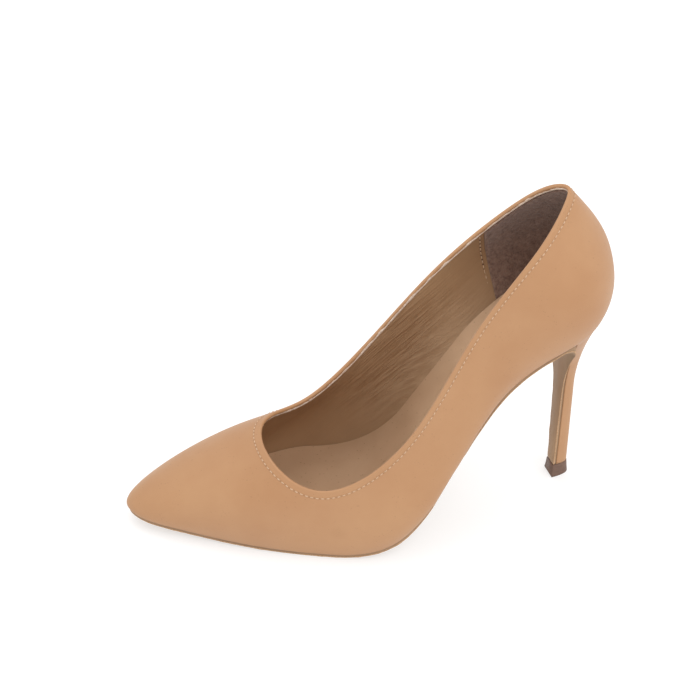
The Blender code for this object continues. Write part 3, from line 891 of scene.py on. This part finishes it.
def make_upper(shell, material):
    """Outer leather: its face, the folded topline edge, its back and the lasting margin under the foot."""
    head, n = shell.face[-1], shell.normals[-1]
    up = unit(shell.face[-1] - shell.face[-3])
    r = EDGE_ROLL * MM
    roll = []
    for turn in np.linspace(0, math.pi, 9)[1:]:
        roll.append(head - n * r * (1 - math.cos(turn)) + up * r * FOLD_HEIGHT * math.sin(turn))
    back = [shell.below(drop, -2 * EDGE_ROLL)[0] for drop in FOLD_DROPS]
    back += [shell.below(drop, -BACK_DEPTH)[0] for drop in BACK_DROPS]
    inward = to_frame(shell.foot - shell.out * LASTING_MARGIN)
    inward[:, 2] += MARGIN_RISE * MM
    turned = shell.face[0] + unit(inward - shell.face[0]) * MARGIN_BEND * MM
    rows = np.concatenate([[inward, turned], shell.face, roll, back])
    made = skin("upper_leather", rows, material, "upper_leather")
    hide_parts("upper")


def make_lining(shell, material):
    """Lining down to the insole, in low waves that are strongest at the inside quarter."""
    depth = shell.down[-1] / MM
    quarter = shell.inside & (shell.along > WAVE_FROM) & (shell.along < WAVE_TO)
    inner = []
    for t in np.linspace(0, 1, 48) ** 1.15:
        drop = LINING_DROP + (depth - LINING_DROP - LINING_STOP) * t
        wave = WAVE * np.sin(shell.along * WAVE_RADIANS + WAVE_SHIFT * t) * np.sin(math.pi * t) ** 2
        wave = np.where(quarter, wave, WAVE_CALM * wave)
        points, normals = shell.below(drop, -LINING_DEPTH)
        inner.append(points + normals * wave[:, None] * MM)
    backs = [shell.below(LINING_DROP + row, -LINING_BACK)[0] for row in BACK_ROWS]
    rows = np.array(backs + [(inner[0] + backs[-1]) / 2] + inner)
    skin("lining", rows, material, "upper_leather")


def ragged(rng, count, kernel):
    """Random values round a closed ring, smoothed by a kernel."""
    values = np.tile(rng.normal(0, 1, count), 3)
    return np.convolve(values, kernel, "same")[count : 2 * count]


def make_lining_edge(shell, material, rng):
    """The lining's trimmed edge stands up as a pale ragged line inside the fold."""
    count = len(shell.along)
    fray = ragged(rng, count, [0.25, 0.5, 0.25])
    tufts = np.clip(ragged(rng, count, np.ones(9) / 9), -0.5, 1)
    drop = LINING_DROP - CUT_EDGE_RISE - FRAY_DROP * fray - TUFT_DROP * tufts
    path, normals = shell.below(drop, -CUT_EDGE_DEPTH)
    swell = FRAY_SWELL * fray.clip(-1, 1.5) + TUFT_SWELL * tufts.clip(0, 1)
    radius = (CUT_EDGE_RADIUS + swell) * MM
    tube("lining_edge", path, normals, radius, material, "upper_leather", flat=0.8)


def make_grip(shell, material):
    """Suede heel grip inside the back of the collar."""
    keep = np.nonzero(shell.along < GRIP_START)[0]
    split = np.nonzero(np.diff(keep) > 1)[0][0] + 1
    columns = np.concatenate([keep[split:], keep[:split]])
    depth = shell.down[-1] / MM
    rows = []
    for t in np.linspace(0, 1, 44):
        drop = LINING_DROP + GRIP_DROP + (depth - LINING_DROP - GRIP_DROP - GRIP_STOP) * t
        rows.append(shell.below(drop, -GRIP_DEPTH)[0][columns])
    inner = np.array(rows)
    outer = inner + shell.below(GRIP_TURN)[1][columns] * GRIP_THICKNESS * MM
    ring = np.concatenate([inner.transpose(1, 0, 2), outer.transpose(1, 0, 2)[:, ::-1]], axis=1)
    return skin("heel_grip", ring, material, "insole", capped=True)


def make_grip_thread(shell, grip, side, inside):
    """A light stitched line just in front of the suede."""
    j = shell.column(GRIP_START + GRIP_THREAD_AHEAD, inside)
    drops = np.linspace(STITCH_DROP, shell.down[-1, j] / MM - GRIP_THREAD_STOP, 70)
    run = np.array([shell.walk(j, drop * MM)[0] for drop in drops])
    facing = np.tile(-shell.normals[-1, j], (len(run), 1))
    path = run + facing * GRIP_THREAD_DEPTH * MM
    sizes = {"pitch": GRIP_THREAD_PITCH, "length": GRIP_THREAD_LENGTH}
    stitches("grip_thread_" + side, path, facing, "insole", closed=False, **sizes).parent = grip


def make_sock(material):
    """Sock lining glued over the insole, its rim pressed up against the quarters."""
    under = LAST.under
    edge, back, toe = LAST.outline(lambda flare: (WALL + SOCK_SIDE) / np.cos(flare))
    toe -= TOE_ROOM - SOCK_TOE
    s = back + SOCK_BACK + (toe - back - SOCK_BACK) * spread(220, 0.8)
    out, ins = edge(s)
    share = np.clip((s - SEAT_BACK) / (LENGTH - SEAT_BACK), 0, 1)
    grow = SOCK_SPREAD * INSOLE * np.tan(np.radians(ease(FLARE, share)))
    grow = grow * np.clip(np.minimum(s - back, toe - s) / SOCK_TAPER, 0, 1)
    rows = []
    for t in np.sin(np.linspace(-1, 1, 41) * math.pi / 2):
        y = (out + grow) * (1 + t) / 2 + (ins - grow) * (1 - t) / 2
        lift = INSOLE + SOCK_GAP + SOCK_RIM * abs(t) ** 14 - SOCK_DISH * (1 - t * t)
        rows.append(np.column_stack([s, y, under.z(s, y, lift)]))
    top = np.array(rows).transpose(1, 0, 2)
    low = top - [0, 0, SOCK_THICKNESS]
    ring = np.concatenate([top, low[:, ::-1]], axis=1)
    made = skin("sock", to_frame(ring), material, "insole", capped=True)
    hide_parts("insole")


def make_heel(h, material):
    """Leather-covered heel: its plan at each depth blends from the seat's into the stem's."""
    steps = 34
    t = np.linspace(0, math.pi / 2, steps)
    s = BREAST - (BREAST - h.back - 0.01) * np.sin(t)
    out, ins = h.edge(s)
    seat = np.concatenate([np.column_stack([s, out]), np.column_stack([s, ins])[::-1][1:]])
    seat[steps - 1, 1] = (out[-1] + ins[-1]) / 2
    rings = []
    for depth in np.concatenate([[0, 0.4, 0.9], np.linspace(1.5, h.drop, 70)]):
        n = h.narrowing(depth)
        half, length = h.stem(depth)
        shrink = HEEL_EDGE if depth in (0, h.drop) else 1.0
        ring = seat * (1 - n) + d_section(BREAST, length, half, steps) * n
        ring = ring.mean(0) + (ring - ring.mean(0)) * shrink
        roof = h.under.z(ring[:, 0], ring[:, 1], -GAP)
        z = h.foot + (roof - h.foot) * (1 - depth / h.drop)
        rings.append(np.column_stack([ring[:, 0] + h.lean(h.top - depth), ring[:, 1], z]))
    made = skin("heel_cover", to_frame(np.array(rings)), material, "heel_cover", capped=True)
    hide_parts("heel")


def sole_run(h, s, end, at, depth, radius):
    """Side line of one face of the sole, from the toe along the underside and down the breast."""
    under = LAST.under
    far, corner = (float(under.z(p, 0, -depth) - under.twist(p, 0)) for p in (end, at))
    below = corner - SOLE_BEND
    bend = fillet((end, far), (at + h.lean(corner), corner), (at + h.lean(below), below), radius, 16)
    z = np.linspace(bend[-1, 1] - 0.5, h.foot, 60)
    down = np.column_stack([at + h.lean(z), z])
    plate = np.column_stack([s, under.z(s, 0 * s, -depth) - under.twist(s, 0 * s)])
    return np.vstack([plate, bend, down])


def make_sole(h, material, edge_material, rng):
    """Leather sole that runs on down the breast as a flap, with its pale cut edge."""
    edge, _, toe = LAST.outline(SOLE_INSET)
    tip = toe - SOLE_TIP
    front = BREAST + GAP
    end = front + FLAP + SOLE_BEND
    s = tip - (tip - end) * np.linspace(0, 1, 220) ** 1.25
    inner = sole_run(h, s, end, front, GAP, BEND_BEHIND)
    outer = sole_run(h, s, end, front + FLAP, GAP + SOLE, BEND_AHEAD)
    ring = []
    for a, b in zip(inner, outer):
        flat = np.clip((a[0] - front - h.lean(a[1])) / (end - front), 0, 1)
        corner = h.front(h.top - min(a[1], h.top - 0.5))
        corner = corner[0] - FLAP_INSET, corner[1] + FLAP_INSET
        wide = [c + (r - c) * flat for c, r in zip(corner, edge(max(a[0], BREAST)))]
        section = []
        for side, pull, depth in SOLE_SECTION:
            y = wide[0] * (1 - side) + wide[1] * side - pull
            p = a * (1 - depth) + b * depth
            section.append((p[0], y, p[1] + float(LAST.under.twist(p[0], y))))
        ring.append(section)
    ring = np.array(ring)
    made = skin("sole", to_frame(ring), material, "outsole", capped=True)
    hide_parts("outsole")
    flap = ring[ring[:, OUTER_EDGE, 2] < h.top - FLAP_EDGE_TOP]
    for row, way, name in ((OUTER_EDGE, 1.0, "out"), (INNER_EDGE, -1.0, "in")):
        path = to_frame(flap[:, row])
        rough = np.convolve(rng.normal(0, 1, len(path)), [0.3, 0.4, 0.3], "same")
        side = np.tile([0.0, way, 0.0], (len(path), 1))
        radius = (FLAP_EDGE_RADIUS + FLAP_EDGE_ROUGH * rough) * MM
        cut = tube("flap_edge_" + name, path, side, radius, edge_material, "outsole", closed=False)
        cut.parent = made


def make_top_piece(material):
    """Hard top piece, flared toward the floor with a rounded lower edge."""
    front = FOOT_FRONT + GAP + FLAP + TIP_MARGIN
    length = GAP + FLAP + TIP_LENGTH
    half = (TIP_WIDTH + TIP_MARGIN) / 2
    rings = []
    for z, flare in TOP_PIECE_SIDE:
        proud = flare * TIP_FLARE
        plan = d_section(front + proud, length + 1.4 * proud, half + proud, 26)
        rings.append(np.column_stack([plan, np.full(len(plan), z)]))
    made = skin("top_piece", to_frame(np.array(rings)), material, "top_piece", capped=True)
    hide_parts("heel_tip")


def make_seam(shell, material):
    """Side seam down the inside quarter, with a row of stitches beside it."""
    places = sorted((shell.along[k], k) for k in np.nonzero(shell.inside)[0])
    path, normals = [], []
    for t in np.linspace(0, 1, 90):
        share = SEAM_HEAD - (SEAM_HEAD - SEAM_FOOT) * math.sin(t * math.pi / 2)
        at = np.interp(share, *zip(*places))
        low, w = int(at), at - int(at)
        drop = t * shell.down[-1, low] * SEAM_STOP + SEAM_DROP * MM
        near, far = shell.walk(low, drop), shell.walk(low + 1, drop)
        path.append(near[0] * (1 - w) + far[0] * w)
        normals.append(unit(near[1] * (1 - w) + far[1] * w))
    path, normals = np.array(path), np.array(normals)
    radius = np.full(len(path), SEAM_RADIUS * MM)
    sunk = path - normals * SEAM_SUNK * MM
    seam = tube("side_seam", sunk, normals, radius, material, "upper_leather", closed=False)
    beside = path + unit(np.cross(unit(np.gradient(path, axis=0)), normals)) * SEAM_THREAD * MM
    beside, normals = beside[SEAM_BARE:], normals[SEAM_BARE:]
    stitches("side_seam_thread", beside, normals, "upper_leather", closed=False).parent = seam


# Build

rng = np.random.default_rng(7)
shell = Shell()
smudge = (shell.point(0.60, 0.34, False), 4.5 * MM, 0.10, srgb(150, 108, 70))
# Lighter round spot on the vamp: a painted highlight where the leather creases; the smudge above is a real
# dark mark.
painted_crease_highlight = (shell.point(0.78, 0.55, False), 8 * MM, 0.05, srgb(204, 160, 122))
make_upper(shell, leather("smooth tan leather", TAN_LIGHT, TAN_DARK, (smudge, painted_crease_highlight)))
make_lining(shell, lining_leather(shell.point(0.42, 0.45, True)))
make_lining_edge(shell, cut_leather("raw lining edge", srgb(226, 208, 192), srgb(178, 150, 128)), rng)
grip = make_grip(shell, suede())
stitches("topline_thread", *shell.below(STITCH_DROP), "upper_leather")
make_sock(sock_leather())
heel = Heel(LAST)
make_heel(heel, leather("heel cover leather", TAN_LIGHT, TAN_DARK))
make_sole(heel, sole_leather(), cut_leather("cut sole edge", srgb(206, 172, 138), srgb(172, 136, 104)), rng)
make_top_piece(moulded_plastic())
make_seam(shell, shadowed("seam shadow", srgb(150, 108, 72)))
make_grip_thread(shell, grip, "out", False)
make_grip_thread(shell, grip, "in", True)


# Stage


def place_floor():
    """A wide white floor that glows a little, so it stays near white around the shadow."""
    half = 3.0
    mesh = bpy.data.meshes.new("floor")
    corners = [(-half, -half, 0), (half, -half, 0), (half, half, 0), (-half, half, 0)]
    mesh.from_pydata(corners, [], [(0, 1, 2, 3)])
    floor = bpy.data.objects.new("floor", mesh)
    white = bpy.data.materials.new("white floor")
    white.use_nodes = True
    paint = white.node_tree.nodes["Principled BSDF"].inputs
    paint["Base Color"].default_value = (0.50, 0.50, 0.50, 1)
    paint["Roughness"].default_value = 1.0
    paint["Specular IOR Level"].default_value = 0.0
    paint["Emission Color"].default_value = (1, 1, 1, 1)
    paint["Emission Strength"].default_value = 0.56
    mesh.materials.append(white)
    bpy.context.scene.collection.objects.link(floor)


def light_studio():
    """Even white light from all round."""
    world = bpy.data.worlds.new("studio")
    world.use_nodes = True
    world.node_tree.nodes["Background"].inputs["Color"].default_value = (1, 1, 1, 1)
    world.node_tree.nodes["Background"].inputs["Strength"].default_value = 1.0
    bpy.context.scene.world = world
    bpy.context.scene.view_settings.view_transform = "Standard"


def softbox(name, place, size, power):
    """Square area light that faces the shoe."""
    data = bpy.data.lights.new(name, "AREA")
    data.shape = "SQUARE"
    data.size = size
    data.energy = power
    made = bpy.data.objects.new(name, data)
    made.location = place
    way = Vector((0, 0, 0.05)) - Vector(place)
    made.rotation_mode = "QUATERNION"
    made.rotation_quaternion = way.to_track_quat("-Z", "Y")
    bpy.context.scene.collection.objects.link(made)


def place_camera(azimuth, elevation, roll, distance, lens, aim):
    """Camera on a sphere round a point of the last: angles in degrees, the rest in millimetres."""
    a, e, r = (math.radians(v) for v in (azimuth, elevation, roll))
    back = np.array([math.sin(a) * math.cos(e), math.cos(a) * math.cos(e), math.sin(e)])
    side = np.array([-math.cos(a), math.sin(a), 0.0])
    up = np.cross(back, side)
    x = math.cos(r) * side - math.sin(r) * up
    y = math.sin(r) * side + math.cos(r) * up
    data = bpy.data.cameras.new("camera")
    data.sensor_width = 36
    data.lens = lens
    data.clip_start = 0.05
    data.clip_end = 20
    made = bpy.data.objects.new("camera", data)
    turn = np.eye(4)
    turn[:3, :3] = np.column_stack([x, y, back])
    turn[:3, 3] = (np.array(aim) - ORIGIN + back * distance) * MM
    made.matrix_world = Matrix(turn.tolist())
    bpy.context.scene.collection.objects.link(made)
    bpy.context.scene.camera = made


place_floor()
light_studio()
softbox("key", (-0.55, 0.85, 1.3), 1.0, 7)
softbox("top", (0.3, -0.4, 1.7), 1.4, 6)
place_camera(9.85, 38.34, roll=0.53, distance=1571.9, lens=197.87, aim=(122.34, 5.60, 82.43))
